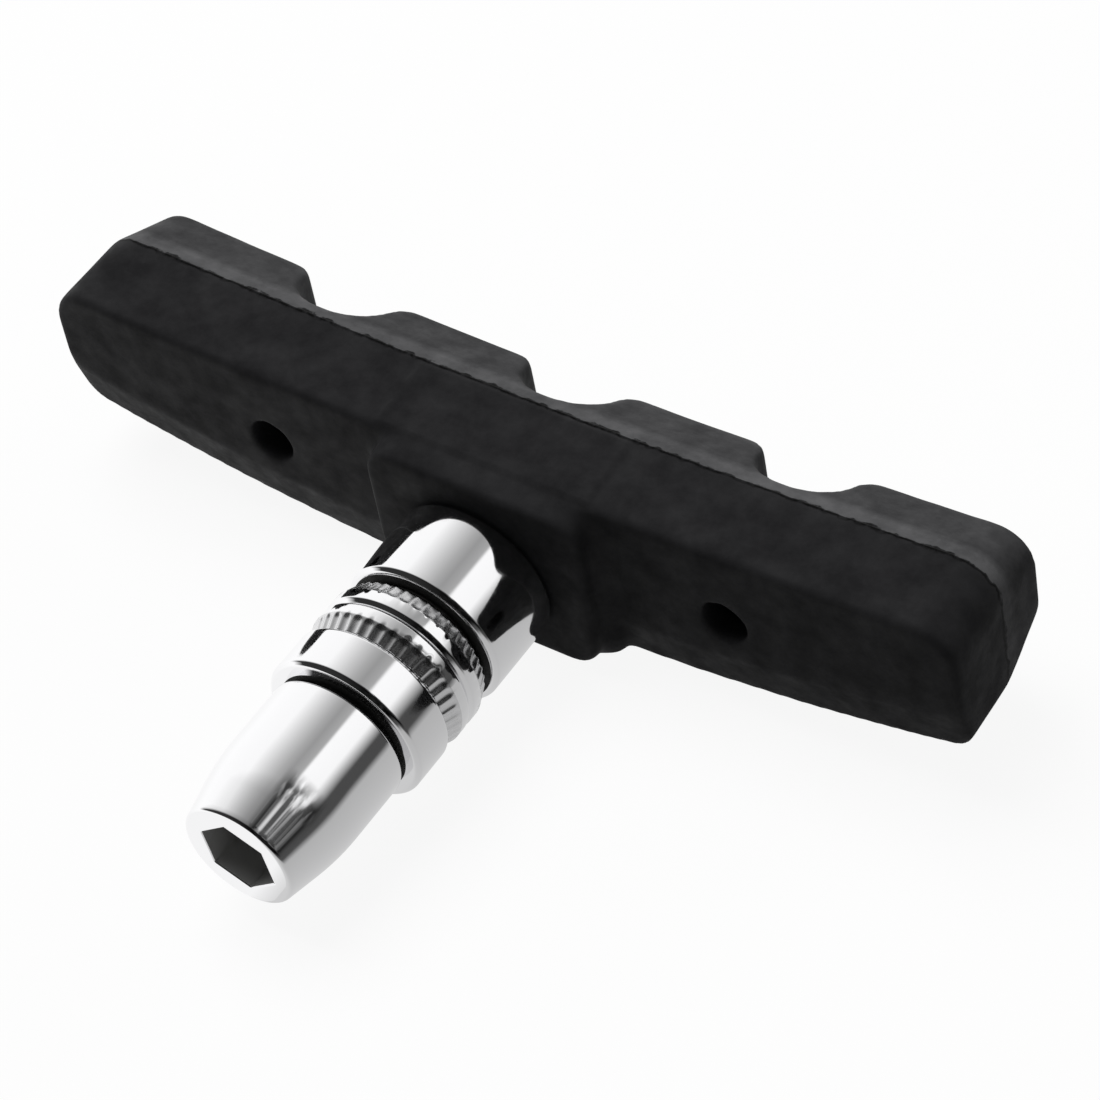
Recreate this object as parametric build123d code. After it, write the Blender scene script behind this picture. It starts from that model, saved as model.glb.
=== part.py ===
import os
from math import acos, cos, isclose, pi, radians, sqrt, tan

from build123d import *

# Bicycle rim brake pad for a linear-pull brake: a rubber pad moulded on a steel plate, with a threaded stud,
# two cup washers, two dome washers and a socket nut. Millimetres.
# The stud's axis is Y, the pad's length is X and Z is up. The friction face looks along +Y.
# The origin is on the stud's axis, at the flat of the inner dome washer, where the brake arm is clamped.

# Thread of the stud and the nut
stud_diameter = 6.0
stud_end_chamfer = 0.6
stud_engagement = 7.4
stud_head_diameter = 9.0
stud_head_thickness = 1.2
thread_clearance = 0.05
plate_fit_clearance = 0.02

# Dome washers
dome_diameter = 12.0
dome_rim_thickness = 2.3
dome_edge_chamfer = 0.3
dome_band_width = 0.8
dome_shoulder_diameter = 11.0
dome_root_diameter = 10.4
dome_sphere_radius = 6.5
flute_count = 40
flute_radius = 0.36
flute_depth = 0.2

# Cup washers
cup_diameter = 12.0
cup_edge_chamfer = 0.3
inner_cup_length = 6.7
outer_cup_length = 3.65
washer_bore = 7.2
seat_clearance = 0.05
inner_dome_gap = 0.7
outer_dome_gap = 0.15

# Socket nut
nut_diameter = 10.2
nut_length = 11.8
nut_cone_length = 4.6
nut_tip_diameter = 8.35
nut_lip_radius = 0.3
nut_seat_chamfer = 0.7
hex_across_flats = 5.0
hex_clocking = 38.0

# Rubber pad, in layers from its back to its friction face
pad_length = 72.8
widest_inset = 0.35
groove_floor_inset = 0.5
contact_inset = 0.9
back_to_bevel = 1.0
back_to_widest = 6.3
back_to_groove_floor = 7.75
back_to_contact = 11.7
top_at_back = 8.1
top_at_widest = 8.55
top_at_groove_floor = 8.03
top_at_contact = 6.0
bottom_at_back = -2.5
bottom_at_bevel = -6.5
bottom_at_widest = -6.6
bottom_at_groove_floor = -6.2
bottom_at_contact = -4.5
top_curve_radius = 635.0
contact_curve_radius = 430.0
bottom_curve_radius = 156.0
top_corner_radius = 3.0
bottom_corner_radius = 2.0
contact_corner_radius = 2.6
back_edge_chamfer = 0.3

# Friction grooves
groove_count = 3
groove_pitch = 18.7
groove_width = 7.5
groove_draft = 10.0
groove_corner_radius = 3.0
groove_offset = 0.4
land_edge_radius = 1.5

# Boss that the inner cup washer seats on
boss_width = 17.2
boss_offset = 0.3
boss_height = 2.0
boss_top = 8.0
boss_bottom = -6.1
boss_corner_radius = 2.3
boss_edge_radius = 0.4
boss_root_depth = 4.7
boss_root_rise = 0.05
plinth_width = 19.4
plinth_height = 0.9
plinth_top = 7.2
plinth_bottom = -6.5

# Moulding holes
mould_hole_diameter = 3.4
mould_hole_spacing = 36.9
mould_hole_height = 1.85

# Backing plate
plate_length = 52.0
plate_height = 9.6
plate_thickness = 1.6
plate_depth = 2.4
plate_centre_height = 1.0
plate_corner_radius = 4.0

# Places along the stud
inner_cup_end = dome_rim_thickness + inner_dome_gap
boss_face = inner_cup_end + inner_cup_length
pad_back = boss_face + boss_height
plate_back = pad_back + plate_depth
plate_front = plate_back + plate_thickness
outer_cup_start = -(dome_rim_thickness + outer_dome_gap)
nut_seat = outer_cup_start - outer_cup_length
nut_tip = nut_seat - nut_length
stud_end = nut_seat - stud_engagement


def revolved(profile):
    # Turns an outline of (radius, place along the stud) once round the stud's axis
    return revolve(make_face(profile), Axis.Y)


def turned(points):
    # A turned piece from the corners of its half section
    return revolved(Polyline(*points, close=True))


def bar(diameter, start, end):
    # Round bar along the stud's axis
    return turned([(0, start), (diameter / 2, start), (diameter / 2, end), (0, end)])


def sphere_centre(side):
    # Centre of a dome's sphere: side is 1 for the inner washer and -1 for the outer one
    root = sqrt(dome_sphere_radius ** 2 - (dome_root_diameter / 2) ** 2)
    return side * (dome_rim_thickness - root)


def dome_washer(side):
    bore = washer_bore / 2
    rim = dome_diameter / 2
    band_start = side * dome_edge_chamfer
    band_end = side * (dome_edge_chamfer + dome_band_width)
    shoulder = side * dome_rim_thickness
    centre = sphere_centre(side)
    crown = centre + side * sqrt(dome_sphere_radius ** 2 - bore ** 2)
    root_angle = acos(dome_root_diameter / 2 / dome_sphere_radius)
    bore_angle = acos(bore / dome_sphere_radius)
    middle = (root_angle + bore_angle) / 2
    over = (dome_sphere_radius * cos(middle), centre + side * dome_sphere_radius * sqrt(1 - cos(middle) ** 2))
    outside = Polyline(
        (bore, crown), (bore, 0), (rim - dome_edge_chamfer, 0), (rim, band_start), (rim, band_end),
        (dome_shoulder_diameter / 2, shoulder), (dome_root_diameter / 2, shoulder))
    crown_arc = ThreePointArc((dome_root_diameter / 2, shoulder), over, (bore, crown))
    return revolved(outside + crown_arc) - flutes(side)


def flutes(side):
    # Round-bottomed flutes down the tapered half of a dome washer's rim, with ball ends near its smooth band
    taper_start = Vector(dome_diameter / 2, side * (dome_edge_chamfer + dome_band_width), 0)
    taper_end = Vector(dome_shoulder_diameter / 2, side * dome_rim_thickness, 0)
    along = (taper_end - taper_start).normalized()
    outward = Vector(along.Y * side, -along.X * side, 0)
    lift = outward * (flute_radius - flute_depth)
    ball = taper_start + along * flute_radius + lift
    run = (taper_end - taper_start).length
    channel = Solid.make_cylinder(flute_radius, run, Plane(ball, z_dir=along))
    cutter = channel + Pos(ball) * Sphere(flute_radius)
    return [Rot(0, 360 * step / flute_count, 0) * cutter for step in range(flute_count)]


def cup_washer(seat, mouth, side):
    # Sleeve between its plain end (seat) and its dished end (mouth), bored wide to let it tip on the stud
    rim = cup_diameter / 2
    bore = washer_bore / 2
    edge = cup_edge_chamfer
    inward = 1 if mouth > seat else -1
    sleeve = turned([
        (bore, seat), (rim - edge, seat), (rim, seat + inward * edge), (rim, mouth - inward * edge),
        (rim - edge, mouth), (bore, mouth)])
    return sleeve - Pos(0, sphere_centre(side), 0) * Sphere(dome_sphere_radius + seat_clearance)


def socket_nut():
    radius = nut_diameter / 2
    tip = nut_tip_diameter / 2
    bore = stud_diameter / 2 + thread_clearance
    body = turned([
        (0, nut_seat), (radius - nut_seat_chamfer, nut_seat), (radius, nut_seat - nut_seat_chamfer),
        (radius, nut_tip + nut_cone_length), (tip, nut_tip), (0, nut_tip)])
    body = fillet(body.edges().group_by(Axis.Y)[0], nut_lip_radius)
    hex_circle = hex_across_flats / 2 / cos(pi / 6)
    hex_face = Plane.XZ.offset(-nut_tip) * RegularPolygon(hex_circle, 6, rotation=hex_clocking)
    socket = extrude(hex_face, nut_length, dir=(0, 1, 0))
    return body - socket - bar(2 * bore, nut_seat, stud_end)


def threaded_stud():
    radius = stud_diameter / 2
    head = stud_head_diameter / 2
    back = plate_front + stud_head_thickness
    return turned([
        (0, back), (head, back), (head, plate_front), (radius, plate_front),
        (radius, stud_end + stud_end_chamfer), (radius - stud_end_chamfer, stud_end), (0, stud_end)])


def plate_slab():
    outline = Pos(0, plate_centre_height) * RectangleRounded(plate_length, plate_height, plate_corner_radius)
    return extrude(Plane.XZ.offset(-plate_back) * outline, plate_thickness, dir=(0, 1, 0))


def backing_plate():
    return plate_slab() - bar(stud_diameter + 2 * plate_fit_clearance, plate_back, plate_front)


def pad_layer(depth, top, bottom, inset, curve=top_curve_radius, top_round=top_corner_radius):
    # Outline of the pad seen along the stud, at a depth from its back: two long arcs and two rounded ends
    half = pad_length / 2 - inset
    top_end = top + curve - sqrt(curve ** 2 - half ** 2)
    bottom_end = bottom + bottom_curve_radius - sqrt(bottom_curve_radius ** 2 - half ** 2)
    outline = [
        ThreePointArc((-half, top_end), (0, top), (half, top_end)),
        Line((half, top_end), (half, bottom_end)),
        ThreePointArc((half, bottom_end), (0, bottom), (-half, bottom_end)),
        Line((-half, bottom_end), (-half, top_end))]
    layer = make_face(Curve() + outline)
    layer = fillet(layer.vertices().group_by(Axis.Y)[-1], top_round)
    layer = fillet(layer.vertices().group_by(Axis.Y)[0], bottom_corner_radius)
    return Plane.XZ.offset(-(pad_back + depth)) * layer


def boss():
    # Pedestal under the inner cup washer: its top runs back into the pad's top side,
    # and a low plinth spreads its foot
    slope = (top_at_widest - top_at_back) / back_to_widest
    root_top = top_at_back + slope * boss_root_depth + boss_root_rise
    block = loft([
        pedestal_section(boss_face, boss_width, boss_top, boss_bottom),
        pedestal_section(pad_back + boss_root_depth, boss_width, root_top, boss_bottom)], ruled=True)
    block = fillet(block.faces().sort_by(Axis.Y)[0].edges(), boss_edge_radius)
    plinth = loft([
        pedestal_section(pad_back - plinth_height, boss_width, plinth_top, boss_bottom),
        pedestal_section(pad_back, plinth_width, plinth_top, plinth_bottom),
        pedestal_section(pad_back + back_to_bevel, plinth_width, plinth_top, plinth_bottom)], ruled=True)
    return block + plinth


def pedestal_section(place, width, top, bottom):
    section = RectangleRounded(width, top - bottom, boss_corner_radius)
    return Plane.XZ.offset(-place) * Pos(0, (top + bottom) / 2) * section


def grooves():
    # Round-bottomed grooves with drafted walls across the friction face, between the lands
    floor = pad_back + back_to_groove_floor
    depth = back_to_contact - back_to_groove_floor
    draft = depth * tan(radians(groove_draft))
    low = groove_width / 2 - draft
    high = groove_width / 2 + draft
    section = make_face(Polyline(
        (-low, floor), (low, floor), (high, floor + 2 * depth), (-high, floor + 2 * depth), close=True))
    section = fillet(section.vertices().group_by(Axis.Y)[0], groove_corner_radius)
    cutter = extrude(section, top_at_widest - bottom_at_widest, both=True)
    first = groove_offset - (groove_count - 1) / 2 * groove_pitch
    return [Pos(first + step * groove_pitch, 0, 0) * cutter for step in range(groove_count)]


def rubber_pad():
    top_slope = (top_at_widest - top_at_back) / back_to_widest
    bevel_slope = (bottom_at_bevel - bottom_at_back) / back_to_bevel
    soft = back_edge_chamfer
    layers = [
        pad_layer(0, top_at_back - soft, bottom_at_back, soft),
        pad_layer(soft, top_at_back + top_slope * soft, bottom_at_back + bevel_slope * soft, 0),
        pad_layer(back_to_bevel, top_at_back + top_slope * back_to_bevel, bottom_at_bevel, 0),
        pad_layer(back_to_widest, top_at_widest, bottom_at_widest, widest_inset),
        pad_layer(back_to_groove_floor, top_at_groove_floor, bottom_at_groove_floor, groove_floor_inset),
        pad_layer(back_to_contact, top_at_contact, bottom_at_contact, contact_inset, contact_curve_radius,
                  contact_corner_radius)]
    pad = loft(layers, ruled=True) - grooves()
    contact = pad_back + back_to_contact
    grooved = groove_count * groove_pitch / 2
    upright = [edge for edge in pad.edges().filter_by(Axis.Z) if isclose(edge.center().Y, contact)]
    pad = fillet([edge for edge in upright if abs(edge.center().X) < grooved], land_edge_radius)
    pad += Pos(boss_offset, 0, 0) * boss()
    for place in (-mould_hole_spacing / 2, mould_hole_spacing / 2):
        hole = Plane.XZ.offset(-pad_back) * Pos(place, mould_hole_height) * Circle(mould_hole_diameter / 2)
        pad -= extrude(hole, plate_depth, dir=(0, 1, 0))
    return pad - plate_slab() - threaded_stud()


pieces = {
    "rubber_pad": rubber_pad(),
    "backing_plate": backing_plate(),
    "threaded_stud": threaded_stud(),
    "inner_cup_washer": cup_washer(boss_face, inner_cup_end, 1),
    "inner_dome_washer": dome_washer(1),
    "outer_dome_washer": dome_washer(-1),
    "outer_cup_washer": cup_washer(nut_seat, outer_cup_start, -1),
    "socket_nut": socket_nut(),
}

os.makedirs("parts", exist_ok=True)
for name, piece in pieces.items():
    export_step(piece, f"parts/{name}.step")
    box = piece.bounding_box()
    print(name, len(piece.solids()), "solid", round(piece.volume, 1), "mm3", box.min, box.max)
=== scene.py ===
import math
import bmesh
import bpy
from mathutils import Matrix, Vector, noise


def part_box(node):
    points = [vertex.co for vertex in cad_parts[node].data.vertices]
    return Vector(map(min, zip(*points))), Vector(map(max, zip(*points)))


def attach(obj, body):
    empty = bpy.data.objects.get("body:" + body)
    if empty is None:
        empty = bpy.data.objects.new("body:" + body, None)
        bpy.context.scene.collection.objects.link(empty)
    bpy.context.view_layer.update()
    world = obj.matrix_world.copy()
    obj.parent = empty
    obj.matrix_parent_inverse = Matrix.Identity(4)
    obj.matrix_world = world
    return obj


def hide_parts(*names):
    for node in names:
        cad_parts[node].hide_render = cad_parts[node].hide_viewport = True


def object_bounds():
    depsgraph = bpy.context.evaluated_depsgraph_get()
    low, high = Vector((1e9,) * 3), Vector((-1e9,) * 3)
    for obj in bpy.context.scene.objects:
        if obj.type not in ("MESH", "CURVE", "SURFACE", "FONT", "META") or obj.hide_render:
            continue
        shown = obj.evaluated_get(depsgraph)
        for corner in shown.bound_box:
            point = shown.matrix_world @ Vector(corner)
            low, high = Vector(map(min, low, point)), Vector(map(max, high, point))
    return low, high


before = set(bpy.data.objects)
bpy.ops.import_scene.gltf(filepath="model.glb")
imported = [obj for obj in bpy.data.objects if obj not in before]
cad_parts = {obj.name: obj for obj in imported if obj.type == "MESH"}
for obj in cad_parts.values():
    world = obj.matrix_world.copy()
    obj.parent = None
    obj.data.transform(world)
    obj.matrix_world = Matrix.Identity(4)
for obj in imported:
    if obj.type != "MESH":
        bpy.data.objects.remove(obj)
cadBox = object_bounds()  # the solids' own box
mm = 0.001
weld = 1e-6  # points nearer than this, in metres, are one
noiseSpan = (0.3, 0.7)  # most of a noise texture's values lie between these
print("frame loaded:", sorted(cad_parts))

# where the pieces stand along the stud, in millimetres, read from the frame
place = {}
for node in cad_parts:
    low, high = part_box(node)
    place[node] = (low.y / mm, high.y / mm)


def toLinear(hexColour):  # sRGB hex to the linear colour that a shader wants
    channels = [int(hexColour[i:i + 2], 16) / 255 for i in (1, 3, 5)]
    return [c / 12.92 if c <= 0.04045 else ((c + 0.055) / 1.055) ** 2.4 for c in channels] + [1]


def addNode(tree, kind, links=None, **settings):
    # links gives each input a value, a socket, or a node whose first output feeds it
    node = tree.nodes.new(kind)
    for name, value in settings.items():
        setattr(node, name, value)
    for socket, source in (links or {}).items():
        if isinstance(source, bpy.types.Node):
            source = source.outputs[0]
        if isinstance(source, bpy.types.NodeSocket):
            tree.links.new(source, node.inputs[socket])
        else:
            node.inputs[socket].default_value = source
    return node


def newMaterial(name):
    material = bpy.data.materials.new(name)
    material.use_nodes = True
    material.node_tree.nodes.clear()
    return material, material.node_tree


# Finishes

rubberLook = {
    "backDark": "#19191a", "backPale": "#222223",  # the back half, smooth from the mould
    "ledgeBloomAndSheenDark": "#3c3c3d", "ledgeBloomAndSheenPale": "#4e4e4f",  # the ledge past the parting line: grey bloom, paler still as a painted sheen
    "landDark": "#2a2a2b", "landPale": "#383839",  # the lands that wear on the rim: a weaker grey bloom
    "mottle": 2.4, "mottleLow": 0.34, "mottleHigh": 0.7, "roughLow": 0.5, "roughHigh": 0.72, "gloss": 0.06,
    "grain": 0.3, "grainDepth": 0.03, "grainStrength": 0.3,
    "partingPlane": 18.0, "partingFade": 0.08, "landStart": 19.1, "landFull": 19.8,
    "ragged": 0.36, "raggedLength": 1.0, "tornLow": 0.4, "tornHigh": 0.7,
    "leastToplight": 0.3, "toplightSide": 0.2, "toplightTop": 0.8,  # painted top light: the grey past the parting line is fullest where the surface faces up
    # a thin broken dark line just short of the parting plane: painted shadow under the flash bead
    "flashShadowDark": "#090909", "flashShadowPlace": 17.82, "flashShadowHalf": 0.18, "flashShadowCore": 0.036,
    "brokenLow": 0.3, "brokenHigh": 0.5}


def mouldedRubber():
    # black rubber from a steel mould: deep, matt and cloudy, with a grey bloom past a ragged parting line;
    # painted light makes that grey paler where the surface faces up and on the ledge, and a painted shadow
    # line runs under the flash bead
    material, tree = newMaterial("mouldedRubber")
    spot = addNode(tree, "ShaderNodeTexCoord").outputs
    where = spot["Object"]
    along = addNode(tree, "ShaderNodeSeparateXYZ", {0: where}).outputs["Y"]
    facing = addNode(tree, "ShaderNodeSeparateXYZ", {0: spot["Normal"]}).outputs["Z"]
    # painted top light: how far the surface faces up sets how much of the grey it gets
    paintedToplight = addNode(tree, "ShaderNodeMapRange", {
        "Value": facing, "From Min": rubberLook["toplightSide"], "From Max": rubberLook["toplightTop"],
        "To Min": rubberLook["leastToplight"], "To Max": 1.0})
    cloud = addNode(tree, "ShaderNodeTexNoise", {
        "Vector": where, "Scale": 1 / (rubberLook["mottle"] * mm), "Detail": 5.0, "Roughness": 0.65})
    grain = addNode(tree, "ShaderNodeTexNoise", {
        "Vector": where, "Scale": 1 / (rubberLook["grain"] * mm), "Detail": 2.0})
    tones = []
    for dark, pale in (("backDark", "backPale"), ("ledgeBloomAndSheenDark", "ledgeBloomAndSheenPale"), ("landDark", "landPale")):
        tone = addNode(tree, "ShaderNodeValToRGB", {"Fac": cloud})
        low, high = tone.color_ramp.elements
        low.position = rubberLook["mottleLow"]
        low.color = toLinear(rubberLook[dark])
        high.position = rubberLook["mottleHigh"]
        high.color = toLinear(rubberLook[pale])
        tones.append(tone)
    torn = addNode(tree, "ShaderNodeTexNoise", {
        "Vector": where, "Scale": 1 / (rubberLook["raggedLength"] * mm), "Detail": 3.0})
    shift = addNode(tree, "ShaderNodeMapRange", {
        "Value": torn, "From Min": rubberLook["tornLow"], "From Max": rubberLook["tornHigh"],
        "To Min": 0.0, "To Max": -rubberLook["ragged"] * mm})
    line = addNode(tree, "ShaderNodeMath", {0: along, 1: shift}, operation="ADD")
    past = addNode(tree, "ShaderNodeMapRange", {
        "Value": line, "From Min": rubberLook["partingPlane"] * mm,
        "From Max": (rubberLook["partingPlane"] + rubberLook["partingFade"]) * mm})
    onLand = addNode(tree, "ShaderNodeMapRange", {
        "Value": along, "From Min": rubberLook["landStart"] * mm, "From Max": rubberLook["landFull"] * mm})
    front = addNode(tree, "ShaderNodeMix", {"Factor": onLand, 6: tones[1], 7: tones[2]}, data_type="RGBA")
    # painted shadow: a thin dark line, broken by noise, just short of the parting plane under the flash bead
    fromFlashShadow = addNode(tree, "ShaderNodeMath", {
        0: line, 1: rubberLook["flashShadowPlace"] * mm}, operation="SUBTRACT")
    aside = addNode(tree, "ShaderNodeMath", {0: fromFlashShadow}, operation="ABSOLUTE")
    onFlashShadow = addNode(tree, "ShaderNodeMapRange", {
        "Value": aside, "From Min": rubberLook["flashShadowHalf"] * mm, "From Max": rubberLook["flashShadowCore"] * mm})
    broken = addNode(tree, "ShaderNodeMapRange", {
        "Value": torn, "From Min": rubberLook["brokenLow"], "From Max": rubberLook["brokenHigh"]})
    flashShadow = addNode(tree, "ShaderNodeMath", {0: onFlashShadow, 1: broken}, operation="MULTIPLY")
    # the back's colour with the painted shadow line laid in
    back = addNode(tree, "ShaderNodeMix", {
        "Factor": flashShadow, 6: tones[0], 7: toLinear(rubberLook["flashShadowDark"])}, data_type="RGBA")
    # grey bloom past the parting line, made lighter where the surface faces up as painted top light
    bloomAndPaintedLight = addNode(tree, "ShaderNodeMath", {0: past, 1: paintedToplight}, operation="MULTIPLY")
    colour = addNode(tree, "ShaderNodeMix", {
        "Factor": bloomAndPaintedLight, 6: back.outputs["Result"], 7: front.outputs["Result"]}, data_type="RGBA")
    rough = addNode(tree, "ShaderNodeMapRange", {
        "Value": cloud, "From Min": noiseSpan[0], "From Max": noiseSpan[1],
        "To Min": rubberLook["roughHigh"], "To Max": rubberLook["roughLow"]})
    bump = addNode(tree, "ShaderNodeBump", {
        "Height": grain, "Strength": rubberLook["grainStrength"], "Distance": rubberLook["grainDepth"] * mm})
    shader = addNode(tree, "ShaderNodeBsdfPrincipled", {
        "Base Color": colour.outputs["Result"], "Roughness": rough, "Normal": bump, "IOR": 1.5,
        "Specular IOR Level": rubberLook["gloss"]})
    addNode(tree, "ShaderNodeOutputMaterial", {"Surface": shader})
    return material


chromeLook = {"plate": "#f3f3f4", "wear": 1.4, "wearLow": 0.4, "wearHigh": 0.75, "roughLow": 0.05,
              "roughHigh": 0.11}


def polishedChrome():  # bright chrome plate over turned steel: a mirror, a touch softer where it was handled
    material, tree = newMaterial("polishedChrome")
    where = addNode(tree, "ShaderNodeTexCoord").outputs["Object"]
    wear = addNode(tree, "ShaderNodeTexNoise", {
        "Vector": where, "Scale": 1 / (chromeLook["wear"] * mm), "Detail": 4.0, "Roughness": 0.6})
    rough = addNode(tree, "ShaderNodeMapRange", {
        "Value": wear, "From Min": chromeLook["wearLow"], "From Max": chromeLook["wearHigh"],
        "To Min": chromeLook["roughLow"], "To Max": chromeLook["roughHigh"]})
    shader = addNode(tree, "ShaderNodeBsdfPrincipled", {
        "Base Color": toLinear(chromeLook["plate"]), "Metallic": 1.0, "Roughness": rough})
    addNode(tree, "ShaderNodeOutputMaterial", {"Surface": shader})
    return material


steelLooks = {
    "zincPlatedSteel": {"colour": "#c3c4c2", "metal": 1.0, "rough": (0.22, 0.38), "blotch": 0.8},
    "pressedSteel": {"colour": "#5a5b5d", "metal": 1.0, "rough": (0.34, 0.5), "blotch": 1.6},
    "satinChrome": {"colour": "#dededf", "metal": 1.0, "rough": (0.2, 0.3), "blotch": 0.6},
    "broachedSteel": {"colour": "#9c9c9b", "metal": 0.5, "rough": (0.5, 0.65), "blotch": 0.9},
    # near-black steel: painted shade for the gaps between the washers and the nut
    "paintedShadeSteel": {"colour": "#262625", "metal": 0.3, "rough": (0.55, 0.75), "blotch": 0.9}}


def plainSteel(name):  # steel without polish, its sheen broken by small blotches
    look = steelLooks[name]
    material, tree = newMaterial(name)
    where = addNode(tree, "ShaderNodeTexCoord").outputs["Object"]
    cloud = addNode(tree, "ShaderNodeTexNoise", {
        "Vector": where, "Scale": 1 / (look["blotch"] * mm), "Detail": 4.0})
    rough = addNode(tree, "ShaderNodeMapRange", {
        "Value": cloud, "From Min": noiseSpan[0], "From Max": noiseSpan[1],
        "To Min": look["rough"][0], "To Max": look["rough"][1]})
    shader = addNode(tree, "ShaderNodeBsdfPrincipled", {
        "Base Color": toLinear(look["colour"]), "Metallic": look["metal"], "Roughness": rough})
    addNode(tree, "ShaderNodeOutputMaterial", {"Surface": shader})
    return material


rubber = mouldedRubber()
chrome = polishedChrome()
zincSteel = plainSteel("zincPlatedSteel")  # rolled thread, grey and satin
pressedSteel = plainSteel("pressedSteel")  # blanked plate, dull dark grey
satinChrome = plainSteel("satinChrome")  # the pressed flutes, plated but never polished
broachedSteel = plainSteel("broachedSteel")  # the bare socket, and the stud's end at its bottom
paintedShadeSteel = plainSteel("paintedShadeSteel")  # dishes, crowns and the nut's seat are painted near-black: painted shade in the gaps between the parts
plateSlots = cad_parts["backing_plate"].data.materials
plateSlots.clear()
plateSlots.append(pressedSteel)
print("finishes made")


# Turned metal: rows of (radius, place along the stud) swept round the Y axis

cornerShape = {"arcSteps": 6, "arcShare": 0.4, "supportShare": 0.06}  # shares of the side beside a corner


def roundedOutline(corners):
    # corners are (across, along, softness)
    # a soft one becomes a small arc, with a row each side to keep the flats flat
    outline = []
    for i, (across, along, softness) in enumerate(corners):
        here = Vector((across, along))
        if softness == 0:
            outline.append(here)
            continue
        before = Vector(corners[i - 1][:2]) - here
        after = Vector(corners[i + 1][:2]) - here
        start = here + before.normalized() * min(softness, before.length * cornerShape["arcShare"])
        end = here + after.normalized() * min(softness, after.length * cornerShape["arcShare"])
        outline.append(start + before * cornerShape["supportShare"])
        for k in range(cornerShape["arcSteps"] + 1):
            t = k / cornerShape["arcSteps"]
            outline.append((1 - t) ** 2 * start + 2 * t * (1 - t) * here + t * t * end)
        outline.append(end + after * cornerShape["supportShare"])
    return [(point.x, point.y) for point in outline]


def turnedMesh(name, rows, segments, firstAngle=0.0, dark=(), capped=False):
    # a row's radius is a number or a function of the angle; the dark rows get the second finish
    build = bmesh.new()
    rings = []
    for radius, along in rows:
        ring = []
        for k in range(segments):
            angle = firstAngle + 2 * math.pi * k / segments
            r = radius(angle) if callable(radius) else radius
            ring.append(build.verts.new((r * mm * math.cos(angle), along * mm, r * mm * math.sin(angle))))
        rings.append(ring)
    followers = rings[1:] if capped else rings[1:] + rings[:1]
    for i, (ring, following) in enumerate(zip(rings, followers)):
        for k in range(segments):
            nextOne = (k + 1) % segments
            face = build.faces.new((ring[k], ring[nextOne], following[nextOne], following[k]))
            face.material_index = 1 if i in dark else 0
            face.smooth = True
    if capped:
        for ring, along in ((rings[0], rows[0][1]), (rings[-1], rows[-1][1])):
            pole = build.verts.new((0, along * mm, 0))
            for k in range(segments):
                build.faces.new((ring[k], ring[(k + 1) % segments], pole))
    bmesh.ops.recalc_face_normals(build, faces=build.faces)
    mesh = bpy.data.meshes.new(name)
    build.to_mesh(mesh)
    build.free()
    return mesh


def showMesh(name, mesh, *finishes):
    piece = bpy.data.objects.new(name, mesh)
    bpy.context.scene.collection.objects.link(piece)
    for finish in finishes:
        mesh.materials.append(finish)
    return piece


def settle(piece):  # turns what the modifiers give into a plain mesh
    bpy.context.view_layer.update()
    evaluated = piece.evaluated_get(bpy.context.evaluated_depsgraph_get())
    shaped = bpy.data.meshes.new_from_object(evaluated)
    piece.modifiers.clear()
    piece.data = shaped
    return piece


def newTree(name, sizes, finishes=("Finish",)):  # a geometry tree with named inputs
    tree = bpy.data.node_groups.new(name, "GeometryNodeTree")
    tree.interface.new_socket("Geometry", in_out="INPUT", socket_type="NodeSocketGeometry")
    for size in sizes:
        tree.interface.new_socket(size, in_out="INPUT", socket_type="NodeSocketFloat")
    for finish in finishes:
        tree.interface.new_socket(finish, in_out="INPUT", socket_type="NodeSocketMaterial")
    tree.interface.new_socket("Geometry", in_out="OUTPUT", socket_type="NodeSocketGeometry")
    return tree, addNode(tree, "NodeGroupInput").outputs


def useTree(piece, tree, values):  # sets the tree's inputs by their sockets' identifiers
    modifier = piece.modifiers.new(tree.name, "NODES")
    modifier.node_group = tree
    for socket in tree.interface.items_tree:
        if socket.item_type == "SOCKET" and socket.in_out == "INPUT" and socket.name in values:
            modifier[socket.identifier] = values[socket.name]
    return settle(piece)


def declare(piece, body, node):
    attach(piece, body)
    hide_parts(node)


# Cup washers: sleeves with a spherical dish for the dome

# the seat is painted near-black out to the radius given below, as painted shade under the piece seated on it
cup = {"radius": 6.0, "bore": 3.6, "edge": 0.3, "soft": 0.12, "segments": 160, "dishSteps": 14,
       "clearance": 0.05, "seatShadeReach": 4.95}
dome = {"sphere": 6.5, "root": 5.2, "rim": 2.3, "edge": 0.3, "band": 0.8, "shoulder": 5.5, "soft": 0.1,
        "shoulderRows": 4}
dome["centre"] = dome["rim"] - math.sqrt(dome["sphere"] ** 2 - dome["root"] ** 2)


def sphereRows(radius, side, outer, inner):
    # rows down a dome's sphere, or the dish that takes it, between two distances from the stud's axis
    rows = []
    for k in range(cup["dishSteps"] + 1):
        r = outer + (inner - outer) * k / cup["dishSteps"]
        rows.append((r, side * (dome["centre"] + math.sqrt(radius ** 2 - r ** 2))))
    return rows


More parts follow.
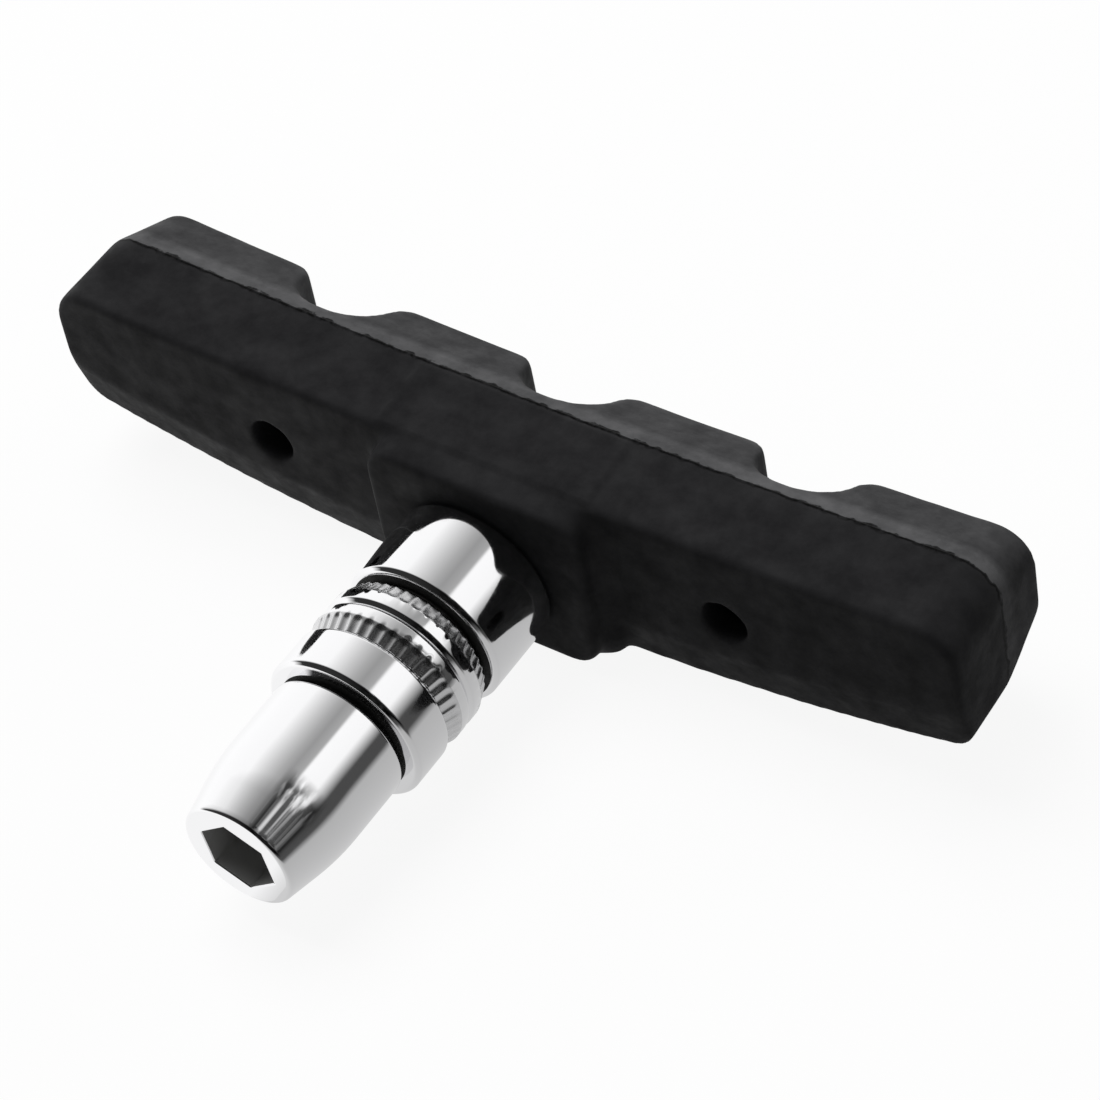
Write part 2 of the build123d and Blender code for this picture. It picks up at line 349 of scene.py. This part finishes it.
def cupWasher(name, seat, mouth, side):
    away = 1 if mouth > seat else -1
    ball = dome["sphere"] + cup["clearance"]
    lip = math.sqrt(ball ** 2 - (side * mouth - dome["centre"]) ** 2)
    soft = cup["soft"]
    outside = roundedOutline([
        (cup["bore"], seat, 0), (cup["bore"] + soft, seat, 0), (cup["seatShadeReach"], seat, 0),
        (cup["seatShadeReach"] + soft, seat, 0), (cup["radius"] - cup["edge"], seat, soft),
        (cup["radius"], seat + away * cup["edge"], soft), (cup["radius"], mouth - away * cup["edge"], soft),
        (cup["radius"] - cup["edge"], mouth, soft), (lip + soft, mouth, 0)])
    dish = sphereRows(ball, side, lip, cup["bore"])
    rows = outside + dish
    dark = [0, 1, *range(len(outside) - 2, len(rows))]  # painted shade: the nut's seat, the mouth's ring and the dish take the near-black finish
    return turnedMesh(name, rows, cup["segments"], dark=dark)


innerMouth, innerSeat = place["inner_cup_washer"]
innerCupMesh = cupWasher("innerCupWasher", innerSeat, innerMouth, 1)
innerCup = showMesh("innerCupWasher", innerCupMesh, chrome, paintedShadeSteel)
declare(innerCup, "pad", "inner_cup_washer")
outerSeat, outerMouth = place["outer_cup_washer"]
outerCupMesh = cupWasher("outerCupWasher", outerSeat, outerMouth, -1)
outerCup = showMesh("outerCupWasher", outerCupMesh, chrome, paintedShadeSteel)
declare(outerCup, "clamp", "outer_cup_washer")
print("cup washers turned")


# Dome washers: a smooth band, a fluted taper and a spherical crown

flutes = {"count": 40, "depth": 0.11, "halfWidth": 0.36, "segmentsEach": 12, "taperRows": 14,
          "innerLimit": 5.22, "crownLimit": 4.9}


def domeWasher(name, side):
    bandEnd = dome["edge"] + dome["band"]
    soft = dome["soft"]
    start = roundedOutline([
        (cup["bore"], 0, 0), (cup["radius"] - dome["edge"], 0, soft), (cup["radius"], dome["edge"], soft),
        (cup["radius"], bandEnd, 0)])
    taper = []
    for k in range(1, flutes["taperRows"] + 1):
        share = k / flutes["taperRows"]
        r = cup["radius"] + (dome["shoulder"] - cup["radius"]) * share
        taper.append((r, bandEnd + (dome["rim"] - bandEnd) * share))
    inset = (dome["root"] - dome["shoulder"]) / dome["shoulderRows"]
    shoulder = [(dome["shoulder"] + inset * k, dome["rim"]) for k in range(1, dome["shoulderRows"])]
    outside = [(r, side * along) for r, along in start + taper + shoulder]
    crown = sphereRows(dome["sphere"], side, dome["root"], cup["bore"])
    return turnedMesh(name, outside + crown, flutes["count"] * flutes["segmentsEach"])


def fluteTree():
    # presses round-bottomed flutes, with ball ends at the band, into the taper of a dome washer
    tree, given = newTree("rimFlutes", (
        "Flute Count", "Flute Depth", "Half Width", "Taper Start", "Side", "Shoulder Radius", "Inner Limit",
        "Crown Limit"), ("Finish", "Flute Finish", "Crown Finish"))
    where = addNode(tree, "ShaderNodeSeparateXYZ", {0: addNode(tree, "GeometryNodeInputPosition")}).outputs
    flat = addNode(tree, "ShaderNodeCombineXYZ", {"X": where["X"], "Z": where["Z"]})
    radius = addNode(tree, "ShaderNodeVectorMath", {0: flat}, operation="LENGTH").outputs["Value"]
    outward = addNode(tree, "ShaderNodeVectorMath", {0: flat}, operation="NORMALIZE")
    angle = addNode(tree, "ShaderNodeMath", {0: where["X"], 1: where["Z"]}, operation="ARCTAN2")
    step = addNode(tree, "ShaderNodeMath", {0: 2 * math.pi, 1: given["Flute Count"]}, operation="DIVIDE")
    turns = addNode(tree, "ShaderNodeMath", {0: angle, 1: step}, operation="DIVIDE")
    # how far from the nearest flute's middle, as a share of the step
    off = addNode(tree, "ShaderNodeMath", {0: turns, 1: 0.5, 2: -0.5}, operation="WRAP")
    arc = addNode(tree, "ShaderNodeMath", {0: radius, 1: step}, operation="MULTIPLY")
    across = addNode(tree, "ShaderNodeMath", {0: off, 1: arc}, operation="MULTIPLY")
    past = addNode(tree, "ShaderNodeMath", {0: where["Y"], 1: given["Taper Start"]}, operation="SUBTRACT")
    along = addNode(tree, "ShaderNodeMath", {0: past, 1: given["Side"]}, operation="MULTIPLY")
    short = addNode(tree, "ShaderNodeMath", {0: given["Half Width"], 1: along}, operation="SUBTRACT")
    ballEnd = addNode(tree, "ShaderNodeMath", {0: short, 1: 0.0}, operation="MAXIMUM")
    reach = addNode(tree, "ShaderNodeCombineXYZ", {"X": across, "Y": ballEnd})
    share = addNode(tree, "ShaderNodeVectorMath", {0: reach}, operation="LENGTH").outputs["Value"]
    ratio = addNode(tree, "ShaderNodeMath", {0: share, 1: given["Half Width"]}, operation="DIVIDE")
    square = addNode(tree, "ShaderNodeMath", {0: ratio, 1: 2.0}, operation="POWER")
    hollow = addNode(tree, "ShaderNodeMath", {0: 1.0, 1: square}, operation="SUBTRACT", use_clamp=True)
    onRim = addNode(tree, "ShaderNodeMapRange", {
        "Value": radius, "From Min": given["Inner Limit"], "From Max": given["Shoulder Radius"]})
    cut = addNode(tree, "ShaderNodeMath", {0: hollow, 1: onRim}, operation="MULTIPLY")
    press = addNode(tree, "ShaderNodeMath", {0: cut, 1: given["Flute Depth"]}, operation="MULTIPLY")
    inward = addNode(tree, "ShaderNodeMath", {0: press, 1: -1.0}, operation="MULTIPLY")
    offset = addNode(tree, "ShaderNodeVectorMath", {0: outward, "Scale": inward}, operation="SCALE")
    pressed = addNode(tree, "GeometryNodeSetPosition", {"Geometry": given["Geometry"], "Offset": offset})
    onTaper = addNode(tree, "ShaderNodeMath", {0: along, 1: 0.0}, operation="GREATER_THAN")
    inside = addNode(tree, "ShaderNodeMath", {0: radius, 1: given["Crown Limit"]}, operation="LESS_THAN")
    beyond = addNode(tree, "ShaderNodeMath", {0: along, 1: given["Half Width"]}, operation="GREATER_THAN")
    onCrown = addNode(tree, "ShaderNodeMath", {0: inside, 1: beyond}, operation="MULTIPLY")
    whole = addNode(tree, "GeometryNodeRealizeInstances", {"Geometry": pressed})
    coated = addNode(tree, "GeometryNodeSetMaterial", {"Geometry": whole, "Material": given["Finish"]})
    dulled = addNode(tree, "GeometryNodeSetMaterial", {
        "Geometry": coated, "Selection": onTaper, "Material": given["Flute Finish"]})
    # painted shade: the crown, down in the cup's dish, is near-black
    crownsShaded = addNode(tree, "GeometryNodeSetMaterial", {
        "Geometry": dulled, "Selection": onCrown, "Material": given["Crown Finish"]})
    addNode(tree, "NodeGroupOutput", {"Geometry": crownsShaded})
    return tree


rimFlutes = fluteTree()
for name, side, body, node in (
        ("innerDomeWasher", 1.0, "pad", "inner_dome_washer"),
        ("outerDomeWasher", -1.0, "clamp", "outer_dome_washer")):
    washer = showMesh(name, domeWasher(name, side), chrome)
    useTree(washer, rimFlutes, {
        "Flute Count": float(flutes["count"]), "Flute Depth": flutes["depth"] * mm,
        "Half Width": flutes["halfWidth"] * mm, "Side": side,
        "Taper Start": side * (dome["edge"] + dome["band"]) * mm,
        "Shoulder Radius": dome["shoulder"] * mm, "Inner Limit": flutes["innerLimit"] * mm,
        "Crown Limit": flutes["crownLimit"] * mm, "Finish": chrome, "Flute Finish": satinChrome,
        "Crown Finish": paintedShadeSteel})
    declare(washer, body, node)
print("dome washers turned and fluted")


# Socket nut: a cylinder with a coned nose and a hex socket

nut = {"radius": 5.1, "cone": 4.6, "tip": 4.175, "lip": 0.3, "edge": 0.7, "bore": 3.05, "hexFlats": 5.0,
       "hexTurn": 38.0, "mouth": 0.08, "coneSoft": 1.8, "soft": 0.1, "segments": 168}


def socketNut():
    tip, seat = place["socket_nut"]
    floor = place["threaded_stud"][0]  # the socket runs in to the stud's end
    hexTurn = math.radians(nut["hexTurn"])

    def hexRadius(grow):
        def radiusAt(angle):
            across = (angle - hexTurn) % (math.pi / 3) - math.pi / 6
            return (nut["hexFlats"] / 2 + grow) / math.cos(across)
        return radiusAt

    outside = roundedOutline([
        (nut["bore"], seat, 0), (nut["radius"] - nut["edge"], seat, nut["soft"]),
        (nut["radius"], seat - nut["edge"], nut["soft"]),
        (nut["radius"], tip + nut["cone"], nut["coneSoft"]), (nut["tip"], tip, nut["lip"]),
        (nut["bore"], tip, 0)])
    mouth = nut["mouth"]
    outside[-1] = (hexRadius(2 * mouth), tip)
    socket = [(hexRadius(mouth), tip), (hexRadius(0), tip + mouth), (hexRadius(0), tip + 2 * mouth),
              (hexRadius(0), floor - mouth), (hexRadius(0), floor)]
    threadBore = [(nut["bore"], floor), (nut["bore"], floor + mouth), (nut["bore"], seat - mouth)]
    rows = outside + socket + threadBore
    bare = range(len(outside) + 1, len(rows))
    return turnedMesh("socketNut", rows, nut["segments"], hexTurn, dark=bare)


socketNutPiece = showMesh("socketNut", socketNut(), chrome, broachedSteel)
declare(socketNutPiece, "nut", "socket_nut")
print("socket nut turned")


# Threaded stud: a head in the plate, then a rolled thread to its end

stud = {"radius": 3.0, "head": 4.5, "headDepth": 1.2, "pitch": 1.0, "threadDepth": 0.5, "rowsPerPitch": 14,
        "segments": 72, "endChamfer": 0.6, "runOut": 1.2, "crest": 0.06, "root": 0.42, "barTolerance": 0.01}


def studMesh():
    end, back = place["threaded_stud"]
    plate = back - stud["headDepth"]
    start = end + stud["endChamfer"]
    stop = place["rubber_pad"][0]
    count = int((stop - start) / stud["pitch"] * stud["rowsPerPitch"])
    rows = [(stud["radius"] - 2 * stud["endChamfer"], end), (stud["radius"] - stud["endChamfer"], end)]
    rows += [(stud["radius"], start + (stop - start) * k / count) for k in range(count + 1)]
    rows += [(stud["radius"], plate), (stud["head"], plate), (stud["head"], back), (stud["radius"], back)]
    return turnedMesh("threadedStud", rows, stud["segments"], capped=True)


def threadTree():
    # rolls a right-hand vee thread into a bar along Y, fading out at both ends
    tree, given = newTree(
        "rolledThread", ("Pitch", "Thread Depth", "Bar Radius", "Start", "End", "Run Out", "Bare Length"),
        ("Finish", "End Finish"))
    where = addNode(tree, "ShaderNodeSeparateXYZ", {0: addNode(tree, "GeometryNodeInputPosition")}).outputs
    flat = addNode(tree, "ShaderNodeCombineXYZ", {"X": where["X"], "Z": where["Z"]})
    radius = addNode(tree, "ShaderNodeVectorMath", {0: flat}, operation="LENGTH").outputs["Value"]
    outward = addNode(tree, "ShaderNodeVectorMath", {0: flat}, operation="NORMALIZE")
    angle = addNode(tree, "ShaderNodeMath", {0: where["X"], 1: where["Z"]}, operation="ARCTAN2")
    turns = addNode(tree, "ShaderNodeMath", {0: angle, 1: 2 * math.pi}, operation="DIVIDE")
    pitches = addNode(tree, "ShaderNodeMath", {0: where["Y"], 1: given["Pitch"]}, operation="DIVIDE")
    climb = addNode(tree, "ShaderNodeMath", {0: pitches, 1: turns}, operation="SUBTRACT")
    vee = addNode(tree, "ShaderNodeMath", {0: climb, 1: 0.5}, operation="PINGPONG")
    flank = addNode(tree, "ShaderNodeMapRange", {
        "Value": vee, "From Min": stud["crest"], "From Max": stud["root"]})
    fromStart = addNode(tree, "ShaderNodeMath", {0: where["Y"], 1: given["Start"]}, operation="SUBTRACT")
    toEnd = addNode(tree, "ShaderNodeMath", {0: given["End"], 1: where["Y"]}, operation="SUBTRACT")
    nearest = addNode(tree, "ShaderNodeMath", {0: fromStart, 1: toEnd}, operation="MINIMUM")
    fade = addNode(tree, "ShaderNodeMapRange", {
        "Value": nearest, "From Min": 0.0, "From Max": given["Run Out"]})
    onBar = addNode(tree, "ShaderNodeMath", {
        0: radius, 1: given["Bar Radius"], 2: stud["barTolerance"] * mm}, operation="COMPARE")
    cut = addNode(tree, "ShaderNodeMath", {0: flank, 1: fade}, operation="MULTIPLY")
    barCut = addNode(tree, "ShaderNodeMath", {0: cut, 1: onBar}, operation="MULTIPLY")
    depth = addNode(tree, "ShaderNodeMath", {0: barCut, 1: given["Thread Depth"]}, operation="MULTIPLY")
    inward = addNode(tree, "ShaderNodeMath", {0: depth, 1: -1.0}, operation="MULTIPLY")
    offset = addNode(tree, "ShaderNodeVectorMath", {0: outward, "Scale": inward}, operation="SCALE")
    rolled = addNode(tree, "GeometryNodeSetPosition", {"Geometry": given["Geometry"], "Offset": offset})
    atEnd = addNode(tree, "ShaderNodeMath", {0: fromStart, 1: given["Bare Length"]}, operation="LESS_THAN")
    whole = addNode(tree, "GeometryNodeRealizeInstances", {"Geometry": rolled})
    coated = addNode(tree, "GeometryNodeSetMaterial", {"Geometry": whole, "Material": given["Finish"]})
    bared = addNode(tree, "GeometryNodeSetMaterial", {
        "Geometry": coated, "Selection": atEnd, "Material": given["End Finish"]})
    addNode(tree, "NodeGroupOutput", {"Geometry": bared})
    return tree


threadedStud = showMesh("threadedStud", studMesh(), zincSteel)
useTree(threadedStud, threadTree(), {
    "Pitch": stud["pitch"] * mm, "Thread Depth": stud["threadDepth"] * mm, "Bar Radius": stud["radius"] * mm,
    "Start": place["threaded_stud"][0] * mm, "End": place["rubber_pad"][0] * mm,
    "Run Out": stud["runOut"] * mm, "Bare Length": stud["endChamfer"] * mm, "Finish": zincSteel,
    "End Finish": broachedSteel})
declare(threadedStud, "pad", "threaded_stud")
print("stud threaded")


# Rubber pad: the moulded body, with the soft edges and slight waver of rubber out of a mould

pad = {"voxel": 0.25, "smoothing": 10, "landSmoothing": 12, "smoothFactor": 0.5, "landStart": 18.6,
       "landFull": 19.6, "waver": 0.05, "waverLength": 6.0, "stepHalf": 8.4, "stepSoft": 0.3,
       "stepRise": 0.16, "stepBand": (12.0, 17.7), "stepFacing": 0.5}


def rubberBody():
    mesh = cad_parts["rubber_pad"].data.copy()
    build = bmesh.new()
    build.from_mesh(mesh)
    bmesh.ops.remove_doubles(build, verts=build.verts, dist=weld)
    build.to_mesh(mesh)
    build.free()
    mesh.materials.clear()
    piece = showMesh("rubberPad", mesh, rubber)
    mould = piece.modifiers.new("mould", "REMESH")
    mould.mode = "VOXEL"
    mould.voxel_size = pad["voxel"] * mm
    mould.use_smooth_shade = True
    soften = piece.modifiers.new("soften", "SMOOTH")
    soften.factor = pad["smoothFactor"]
    soften.iterations = pad["smoothing"]
    settle(piece)
    worn = piece.vertex_groups.new(name="lands")  # the lands' edges are rounder than the back's
    for vertex in piece.data.vertices:
        share = (vertex.co.y / mm - pad["landStart"]) / (pad["landFull"] - pad["landStart"])
        if share > 0:
            worn.add([vertex.index], min(share, 1), "REPLACE")
    soften = piece.modifiers.new("softenLands", "SMOOTH")
    soften.factor = pad["smoothFactor"]
    soften.iterations = pad["landSmoothing"]
    soften.vertex_group = "lands"
    settle(piece)
    piece.vertex_groups.clear()
    outward = [vertex.normal.copy() for vertex in piece.data.vertices]
    for vertex, normal in zip(piece.data.vertices, outward):  # the skin wavers a few hundredths inwards
        sway = noise.noise(vertex.co / (pad["waverLength"] * mm))
        vertex.co -= normal * (0.5 + 0.5 * sway) * pad["waver"] * mm
    low, high = pad["stepBand"]
    for vertex, normal in zip(piece.data.vertices, outward):  # over the boss the top stands a little proud
        if normal.z > pad["stepFacing"] and low < vertex.co.y / mm < high:
            share = (pad["stepHalf"] + pad["stepSoft"] - abs(vertex.co.x) / mm) / pad["stepSoft"]
            vertex.co += normal * max(0, min(share, 1)) * pad["stepRise"] * mm
    print("rubber faces:", len(piece.data.polygons))
    return piece


rubberPad = rubberBody()
declare(rubberPad, "pad", "rubber_pad")
print("rubber pad moulded")


# Parting flash: the thin uneven bead that the mould's joint leaves round the pad

flash = {"plane": 18.0, "sunk": 0.2, "bead": 0.17, "least": 0.15, "waver": 0.9, "thinAt": 0.35,
         "thickAt": 0.65, "step": 0.2, "sides": 8, "lift": 0.02}


def partingPath():  # the pad's own outline at the parting plane, drawn in so that the bead stays within it
    build = bmesh.new()
    build.from_mesh(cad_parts["rubber_pad"].data)
    bmesh.ops.remove_doubles(build, verts=build.verts, dist=weld)
    height = (flash["plane"] + flash["lift"]) * mm  # just clear of the solid's own edge there
    everything = build.verts[:] + build.edges[:] + build.faces[:]
    bmesh.ops.bisect_plane(
        build, geom=everything, plane_co=(0, height, 0), plane_no=(0, 1, 0),
        clear_inner=True, clear_outer=True)
    bmesh.ops.remove_doubles(build, verts=build.verts, dist=weld)
    outer = {max(build.verts, key=lambda vertex: vertex.co.x)}
    fresh = set(outer)
    while fresh:
        fresh = {edge.other_vert(vertex) for vertex in fresh for edge in vertex.link_edges} - outer
        outer |= fresh
    bmesh.ops.delete(build, geom=[vertex for vertex in build.verts if vertex not in outer], context="VERTS")
    low = Vector([min(vertex.co[axis] for vertex in build.verts) for axis in range(3)])
    high = Vector([max(vertex.co[axis] for vertex in build.verts) for axis in range(3)])
    middle = (low + high) / 2
    for vertex in build.verts:
        for axis in (0, 2):
            share = 1 - flash["sunk"] * mm / (high[axis] - middle[axis])
            vertex.co[axis] = middle[axis] + (vertex.co[axis] - middle[axis]) * share
        vertex.co.y = flash["plane"] * mm
    mesh = bpy.data.meshes.new("partingFlash")
    build.to_mesh(mesh)
    build.free()
    return mesh


def flashTree():
    # sweeps a bead round the path, thick and thin by a noise that is fixed in the pad
    tree, given = newTree("flashBead", ("Bead Radius", "Least Share", "Waver Length", "Step"))
    path = addNode(tree, "GeometryNodeMeshToCurve", {"Mesh": given["Geometry"]})
    fine = addNode(tree, "GeometryNodeResampleCurve", {
        "Curve": path, "Length": given["Step"]}, mode="LENGTH")
    often = addNode(tree, "ShaderNodeMath", {0: 1.0, 1: given["Waver Length"]}, operation="DIVIDE")
    uneven = addNode(tree, "ShaderNodeTexNoise", {"Scale": often, "Detail": 3.0})
    share = addNode(tree, "ShaderNodeMapRange", {
        "Value": uneven, "From Min": flash["thinAt"], "From Max": flash["thickAt"],
        "To Min": given["Least Share"], "To Max": 1.0})
    swelling = addNode(tree, "GeometryNodeSetCurveRadius", {"Curve": fine, "Radius": share})
    section = addNode(tree, "GeometryNodeCurvePrimitiveCircle", {
        "Resolution": flash["sides"], "Radius": given["Bead Radius"]})
    bead = addNode(tree, "GeometryNodeCurveToMesh", {"Curve": swelling, "Profile Curve": section})
    whole = addNode(tree, "GeometryNodeRealizeInstances", {"Geometry": bead})
    coated = addNode(tree, "GeometryNodeSetMaterial", {"Geometry": whole, "Material": given["Finish"]})
    addNode(tree, "NodeGroupOutput", {"Geometry": coated})
    return tree


partingFlash = showMesh("partingFlash", partingPath(), rubber)
useTree(partingFlash, flashTree(), {
    "Bead Radius": flash["bead"] * mm, "Least Share": flash["least"], "Waver Length": flash["waver"] * mm,
    "Step": flash["step"] * mm, "Finish": rubber})
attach(partingFlash, "pad")
print("parting flash laid:", len(partingFlash.data.polygons), "faces")


# Studio: white floor and backdrop, a soft lamp above, and a tent that only gloss sees

white = (1, 1, 1, 1)
studio = {"floorDrop": 0.3, "floorSize": 4.0, "floorColour": "#dadada", "floorWhite": 0.91,
          "worldLevel": 0.2}


def seenRays(tree):  # camera, glossy and transmission rays see the plain white background
    rays = addNode(tree, "ShaderNodeLightPath").outputs
    shiny = addNode(tree, "ShaderNodeMath", {
        0: rays["Is Glossy Ray"], 1: rays["Is Transmission Ray"]}, operation="MAXIMUM")
    return addNode(tree, "ShaderNodeMath", {0: rays["Is Camera Ray"], 1: shiny}, operation="MAXIMUM")


def whiteFloor():
    material, tree = newMaterial("paperFloor")  # matt white paper that shows the shadow and reads as white
    paper = addNode(tree, "ShaderNodeBsdfDiffuse", {"Color": toLinear(studio["floorColour"])})
    glow = addNode(tree, "ShaderNodeEmission", {"Color": white, "Strength": 1.0})
    share = addNode(tree, "ShaderNodeMath", {
        0: seenRays(tree), 1: studio["floorWhite"]}, operation="MULTIPLY")
    mix = addNode(tree, "ShaderNodeMixShader", {0: share, 1: paper, 2: glow})
    addNode(tree, "ShaderNodeOutputMaterial", {"Surface": mix})
    half = studio["floorSize"] / 2
    height = cadBox[0].z - studio["floorDrop"] * mm
    mesh = bpy.data.meshes.new("floor")
    corners = [(-half, -half, height), (half, -half, height), (half, half, height), (-half, half, height)]
    mesh.from_pydata(corners, [], [(0, 1, 2, 3)])
    showMesh("floor", mesh, material)


def whiteWorld():
    world = bpy.data.worlds.new("whiteStudio")
    bpy.context.scene.world = world
    world.use_nodes = True
    tree = world.node_tree
    tree.nodes.clear()
    seen = addNode(tree, "ShaderNodeBackground", {"Color": white, "Strength": 1.0})
    fill = addNode(tree, "ShaderNodeBackground", {"Color": white, "Strength": studio["worldLevel"]})
    mix = addNode(tree, "ShaderNodeMixShader", {0: seenRays(tree), 1: fill, 2: seen})
    addNode(tree, "ShaderNodeOutputWorld", {"Surface": mix})


# the tent's half tube and its dark camera side, in metres, and the width of its panels in degrees
tent = {"radius": 0.35, "front": -0.4, "back": 0.7, "panel": 4, "dark": 0.03, "bright": 1.1,
        "shadeStart": 0.05, "shadeEnd": -0.1, "shadeHeight": 0.06}

# what the tent's wall shows at each angle round the stud, from straight up towards +X, in degrees
tentTones = [
    (-180, "#d8d8d8"), (-166, "#f4f4f4"), (-110, "#f4f4f4"), (-92, "#fefefe"), (-40, "#fafafa"),
    (-25, "#dfdfdf"), (-13, "#c6c6c6"), (0, "#aaaaaa"), (11, "#969696"), (25, "#a6a6a6"), (29, "#fcfcfc"),
    (57, "#f8f8f8"), (68, "#b4b4b4"), (78, "#484848"), (94, "#484848"), (101, "#b0b0b0"), (120, "#b8b8b8"),
    (150, "#c6c6c6"), (172, "#cccccc")]

# the strip stops short of the camera's side, where the cloth hangs in dark folds, in degrees and metres
tentGap = {"angle": 48.0, "outer": 42.0, "inner": 28.0, "start": 0.05, "end": 0.1, "fold": 0.05,
           "foldLow": 0.35, "foldHigh": 0.55, "level": 0.12}


def lightTent():
    material, tree = newMaterial("tentCloth")  # white and grey cloth panels, left dark on the camera's side
    where = addNode(tree, "ShaderNodeTexCoord").outputs["Object"]
    split = addNode(tree, "ShaderNodeSeparateXYZ", {0: where}).outputs
    angle = addNode(tree, "ShaderNodeMath", {0: split["X"], 1: split["Z"]}, operation="ARCTAN2")
    share = addNode(tree, "ShaderNodeMapRange", {"Value": angle, "From Min": -math.pi, "From Max": math.pi})
    panels = addNode(tree, "ShaderNodeValToRGB", {"Fac": share})
    stops = panels.color_ramp.elements
    for degrees, _ in tentTones[2:]:  # a new ramp has two stops already
        stops.new((degrees + 180) / 360)
    for stop, (degrees, colour) in zip(stops, tentTones):
        stop.position = (degrees + 180) / 360
        stop.color = toLinear(colour)
    front = addNode(tree, "ShaderNodeMapRange", {
        "Value": split["Y"], "From Min": tent["shadeStart"], "From Max": tent["shadeEnd"]})
    raised = addNode(tree, "ShaderNodeMapRange", {
        "Value": split["Z"], "From Min": 0.0, "From Max": tent["shadeHeight"]})
    shade = addNode(tree, "ShaderNodeMath", {0: front, 1: raised}, operation="MULTIPLY")
    level = addNode(tree, "ShaderNodeMapRange", {
        "Value": shade, "To Min": tent["bright"], "To Max": tent["dark"]})
    fromGap = addNode(tree, "ShaderNodeMath", {
        0: angle, 1: math.radians(tentGap["angle"])}, operation="SUBTRACT")
    away = addNode(tree, "ShaderNodeMath", {0: fromGap}, operation="ABSOLUTE")
    across = addNode(tree, "ShaderNodeMapRange", {
        "Value": away, "From Min": math.radians(tentGap["outer"]),
        "From Max": math.radians(tentGap["inner"])})
    nearby = addNode(tree, "ShaderNodeMapRange", {
        "Value": split["Y"], "From Min": tentGap["end"], "From Max": tentGap["start"]})
    folds = addNode(tree, "ShaderNodeTexNoise", {
        "Vector": where, "Scale": 1 / tentGap["fold"], "Detail": 2.0})
    folded = addNode(tree, "ShaderNodeMapRange", {
        "Value": folds, "From Min": tentGap["foldLow"], "From Max": tentGap["foldHigh"]})
    patch = addNode(tree, "ShaderNodeMath", {0: across, 1: nearby}, operation="MULTIPLY")
    uneven = addNode(tree, "ShaderNodeMath", {0: patch, 1: folded}, operation="MULTIPLY")
    dimming = addNode(tree, "ShaderNodeMapRange", {
        "Value": uneven, "To Min": 1.0, "To Max": tentGap["level"]})
    strength = addNode(tree, "ShaderNodeMath", {0: level, 1: dimming}, operation="MULTIPLY")
    glow = addNode(tree, "ShaderNodeEmission", {"Color": panels, "Strength": strength})
    addNode(tree, "ShaderNodeOutputMaterial", {"Surface": glow})
    low = cadBox[0].z - 0.5 * studio["floorDrop"] * mm  # between the object and the floor
    section = []
    for degrees in range(-180, 180, tent["panel"]):
        turn = math.radians(degrees)
        height = max(low, tent["radius"] * math.cos(turn))
        section.append((tent["radius"] * math.sin(turn), height))
    count = len(section)
    vertices = [(x, along, z) for along in (tent["front"], 0, tent["back"]) for x, z in section]
    faces = [tuple(range(count))]  # the camera's side is closed, the far side open to the white backdrop
    for first in (0, count):
        faces += [(first + k, first + (k + 1) % count, first + count + (k + 1) % count, first + count + k)
                  for k in range(count)]
    mesh = bpy.data.meshes.new("lightTent")
    mesh.from_pydata(vertices, [], faces)
    cloth = showMesh("lightTent", mesh, material)
    cloth.visible_camera = False
    cloth.visible_diffuse = False
    cloth.visible_shadow = False


lamps = {
    "overheadLamp": {"place": (-0.25, 0.1, 0.65), "size": 0.5, "power": 5.9},
    "backLamp": {"place": (0.35, 0.6, 0.2), "size": 0.4, "power": 1.8}}  # gives the friction face its form


def softLamp(name):
    look = lamps[name]
    lamp = bpy.data.lights.new(name, "AREA")
    lamp.size = look["size"]
    lamp.energy = look["power"]
    holder = bpy.data.objects.new(name, lamp)
    bpy.context.scene.collection.objects.link(holder)
    holder.location = look["place"]
    holder.rotation_euler = (-Vector(look["place"])).to_track_quat("-Z", "Y").to_euler()
    holder.visible_glossy = False  # the tent is what gloss sees


whiteFloor()
whiteWorld()
lightTent()
for lampName in lamps:
    softLamp(lampName)
print("studio set")


# Camera at the photograph's angle

view = {"place": (141.82, -138.56, 220.65), "aim": (4.127, 12.544, 1.091), "roll": -11.76,
        "lens": 147.27, "sensor": 36, "near": 0.01, "far": 20}


def photoCamera():
    camera = bpy.data.cameras.new("photoCamera")
    camera.lens = view["lens"]
    camera.sensor_width = view["sensor"]
    camera.clip_start = view["near"]
    camera.clip_end = view["far"]
    holder = bpy.data.objects.new("photoCamera", camera)
    bpy.context.scene.collection.objects.link(holder)
    stand = Vector(view["place"]) * mm
    forward = (Vector(view["aim"]) * mm - stand).normalized()
    level = forward.cross(Vector((0, 0, 1))).normalized()
    turn = Matrix.Rotation(math.radians(view["roll"]), 3, -forward)
    axes = Matrix((turn @ level, turn @ level.cross(forward), -forward)).transposed()
    holder.matrix_world = Matrix.Translation(stand) @ axes.to_4x4()
    bpy.context.scene.camera = holder


photoCamera()
bpy.context.scene.view_settings.view_transform = "Standard"
